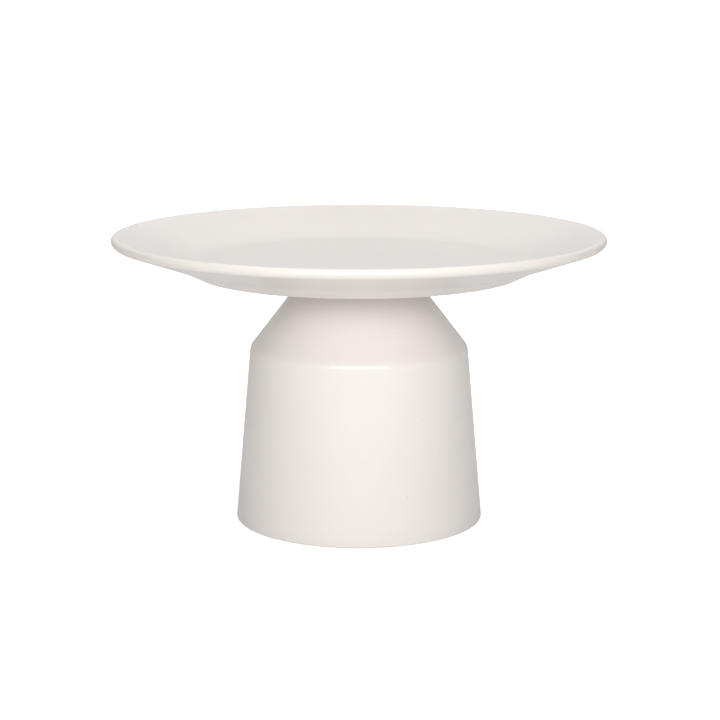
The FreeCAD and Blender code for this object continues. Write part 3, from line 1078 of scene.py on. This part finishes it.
def make_clamp_knob():
    """The whole moulding."""
    low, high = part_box("clamp_knob")
    shelf = low.z + GRIP_HEIGHT
    stud_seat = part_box("clamp_stud")[0].z
    bm = bmesh.new()
    add_knob_grip(bm, low.z)
    add_section(bm, [
        (COLLAR_REACH, shelf, 0),
        (COLLAR_FOOT, shelf, COLLAR_FOOT_ROUND),
        (COLLAR_RADIUS, high.z, COLLAR_TOP_ROUND),
        (HOLE_RADIUS + HOLE_CHAMFER, high.z, 0),
        (HOLE_RADIUS, high.z - HOLE_CHAMFER, 0),
        (HOLE_RADIUS, stud_seat, 0),
        (0, stud_seat, 0),
    ], closed=False)
    turn_round(bm, SMALL_STEPS, SMALL_RUN)
    add_section(bm, [
        (DISH_RADIUS, low.z, 0),
        (DISH_RADIUS - DISH_STEP, low.z, DISH_ROUND),
        (DISH_RADIUS - 2 * DISH_STEP, low.z + DISH_DEPTH, DISH_ROUND),
        (GATE_RADIUS + GATE_SLOPE, low.z + DISH_DEPTH, GATE_ROUND),
        (GATE_RADIUS, low.z + DISH_DEPTH - GATE_RISE, GATE_ROUND),
        (0, low.z + DISH_DEPTH - GATE_RISE, 0),
    ], closed=False)
    turn_round(bm, SMALL_STEPS, SMALL_RUN)
    close_level(bm, low.z)
    close_level(bm, shelf)
    bmesh.ops.recalc_face_normals(bm, faces=bm.faces[:])
    finish_piece(
        "clamp_knob_made", bm, "clamp_knob", "hand_screw", "knob_plastic", knob_plastic
    )


make_clamp_knob()

# %% [markdown]
# ## The studio
#
# The object stands on a plain pale floor under soft light. Most of it comes from one wide board in
# front, a little above the object, so the pedestal's sides turn away into shade and its roundness
# shows. A board overhead opens the plate, a weaker strip higher in front draws the thin line on
# the shoulder, and two faint boards, on the right and behind, lift those edges.
#
# The floor looks white, but sends back less light than it seems to, or the underside of the plate
# would lose its shape. From below it is clear, so that the hollow foot can be seen. The room is
# paler behind and dark at both sides, as if black cloth hung there, which draws the edges of a
# white object.

# %% The floor
FLOOR_SIZE = 60.0
FLOOR_ALBEDO = (0.45, 0.45, 0.45, 1)
FLOOR_BOUNCE = 0.34
FLOOR_NEAR = 0.8
FLOOR_FAR = 1.05
FLOOR_NEAR_REACH = 0.15
FLOOR_FAR_REACH = 0.8


def make_floor():
    """A plain pale floor: white to look at, softer in what it throws back on the object."""
    bm = bmesh.new()
    bmesh.ops.create_grid(bm, x_segments=1, y_segments=1, size=FLOOR_SIZE / 2)
    mesh = bpy.data.meshes.new("floor")
    bm.to_mesh(mesh)
    bm.free()
    floor = bpy.data.objects.new("floor", mesh)
    bpy.context.scene.collection.objects.link(floor)
    material, tree, shader = new_material("pale_floor")
    reach = add_node(
        tree, "ShaderNodeVectorMath", {0: object_place(tree)}, operation="LENGTH"
    ).outputs["Value"]
    shown = add_node(
        tree, "ShaderNodeMapRange",
        {
            "Value": reach, "From Min": FLOOR_NEAR_REACH, "From Max": FLOOR_FAR_REACH,
            "To Min": FLOOR_NEAR, "To Max": FLOOR_FAR,
        },
    ).outputs["Result"]
    seen = add_node(tree, "ShaderNodeLightPath").outputs["Is Camera Ray"]
    glow = add_node(
        tree, "ShaderNodeMix", {"Factor": seen, "A": FLOOR_BOUNCE, "B": shown}, data_type="FLOAT"
    ).outputs["Result"]
    tree.links.new(glow, shader.inputs["Emission Strength"])
    set_sockets(
        shader, Base_Color=FLOOR_ALBEDO, Emission_Color=(1, 1, 1, 1), Roughness=0.9,
        Specular_IOR_Level=0.0,
    )
    below = add_node(tree, "ShaderNodeNewGeometry").outputs["Backfacing"]
    clear = add_node(tree, "ShaderNodeBsdfTransparent").outputs[0]
    surface = add_node(tree, "ShaderNodeMixShader", {0: below, 1: shader.outputs[0], 2: clear})
    output = next(node for node in tree.nodes if node.type == "OUTPUT_MATERIAL")
    tree.links.new(surface.outputs[0], output.inputs["Surface"])
    mesh.materials.append(material)
    print("floor", FLOOR_SIZE, "m square")


make_floor()

# %% The lights
MIDDLE = Vector((0, 0, 0.12))
LIGHTS = [
    # name, turn and rise in degrees, distance, width and height in metres, watts
    ("front_board", 0, 17, 1.9, 2.2, 0.6, 28),
    ("front_strip", 3, 31, 1.9, 1.6, 0.3, 1.6),
    ("overhead", 0, 90, 1.4, 1.4, 1.4, 10),
    ("right_board", 70, 12, 1.9, 0.8, 0.7, 1.2),
    ("back_board", 165, 30, 1.9, 1.2, 0.7, 0.6),
]


def add_light(name, turn, rise, distance, width, height, watts):
    """A soft board facing the object, from a turn and a rise in degrees and a distance."""
    data = bpy.data.lights.new(name, "AREA")
    data.shape = "RECTANGLE"
    data.size = width
    data.size_y = height
    data.energy = watts
    light = bpy.data.objects.new(name, data)
    bpy.context.scene.collection.objects.link(light)
    across, up = math.radians(turn), math.radians(rise)
    towards = Vector((
        math.cos(up) * math.sin(across), -math.cos(up) * math.cos(across), math.sin(up),
    ))
    light.location = MIDDLE + towards * distance
    light.rotation_euler = (-towards).to_track_quat("-Z", "Y").to_euler()


for light_values in LIGHTS:
    add_light(*light_values)
print(len(LIGHTS), "lights,", round(sum(values[-1] for values in LIGHTS), 1), "W in all")

# %% The room
ROOM_FRONT = 0.15
ROOM_BACK = 0.75
ROOM_SIDE_LOSS = 0.9
SIDE_START = 0.35
SIDE_END = 0.9


def make_world():
    """A dim room, paler behind and dark at the sides, and plain white to look at."""
    world = bpy.data.worlds.new("studio")
    bpy.context.scene.world = world
    world.use_nodes = True
    tree = world.node_tree
    direction = add_node(tree, "ShaderNodeTexCoord").outputs["Generated"]
    sides = add_node(tree, "ShaderNodeSeparateXYZ", {0: direction})
    pale = add_node(
        tree, "ShaderNodeMapRange",
        {
            "Value": sides.outputs["Y"], "From Min": -1.0, "From Max": 1.0,
            "To Min": ROOM_FRONT, "To Max": ROOM_BACK,
        },
    ).outputs["Result"]
    across = math_node(tree, "ABSOLUTE", sides.outputs["X"])
    flagged = add_node(
        tree, "ShaderNodeMapRange",
        {
            "Value": across, "From Min": SIDE_START, "From Max": SIDE_END,
            "To Min": 1.0, "To Max": 1.0 - ROOM_SIDE_LOSS,
        },
    ).outputs["Result"]
    share = math_node(tree, "MULTIPLY", pale, flagged)
    seen = add_node(tree, "ShaderNodeLightPath").outputs["Is Camera Ray"]
    strength = add_node(
        tree, "ShaderNodeMix", {"Factor": seen, "A": share, "B": 1.0}, data_type="FLOAT"
    ).outputs["Result"]
    background = tree.nodes["Background"]
    set_sockets(background, Color=(1, 1, 1, 1))
    tree.links.new(strength, background.inputs["Strength"])
    print("room light from", ROOM_FRONT, "in front to", ROOM_BACK, "behind")


make_world()

# %% [markdown]
# ## The camera
#
# The camera stands well back with a long lens, a little above the plate's lip, so the well shows
# as a thin ellipse and the underside can still be seen. The plain view transform keeps the cream
# as it is; the default one would grey it.

# %% Camera
CAMERA_DISTANCE = 1.2155
CAMERA_HEIGHT = 0.3375
CAMERA_SIDE = 0.6 * MM
CAMERA_PITCH = math.radians(78.865)
LENS = 100.63

camera_data = bpy.data.cameras.new("camera")
camera_data.lens = LENS
camera_data.sensor_width = 36.0
camera = bpy.data.objects.new("camera", camera_data)
bpy.context.scene.collection.objects.link(camera)
camera.location = (CAMERA_SIDE, -CAMERA_DISTANCE, CAMERA_HEIGHT)
camera.rotation_euler = (CAMERA_PITCH, 0, 0)
bpy.context.scene.camera = camera
bpy.context.scene.view_settings.view_transform = "Standard"
print("camera at", tuple(round(x, 3) for x in camera.location), "lens", LENS, "mm")
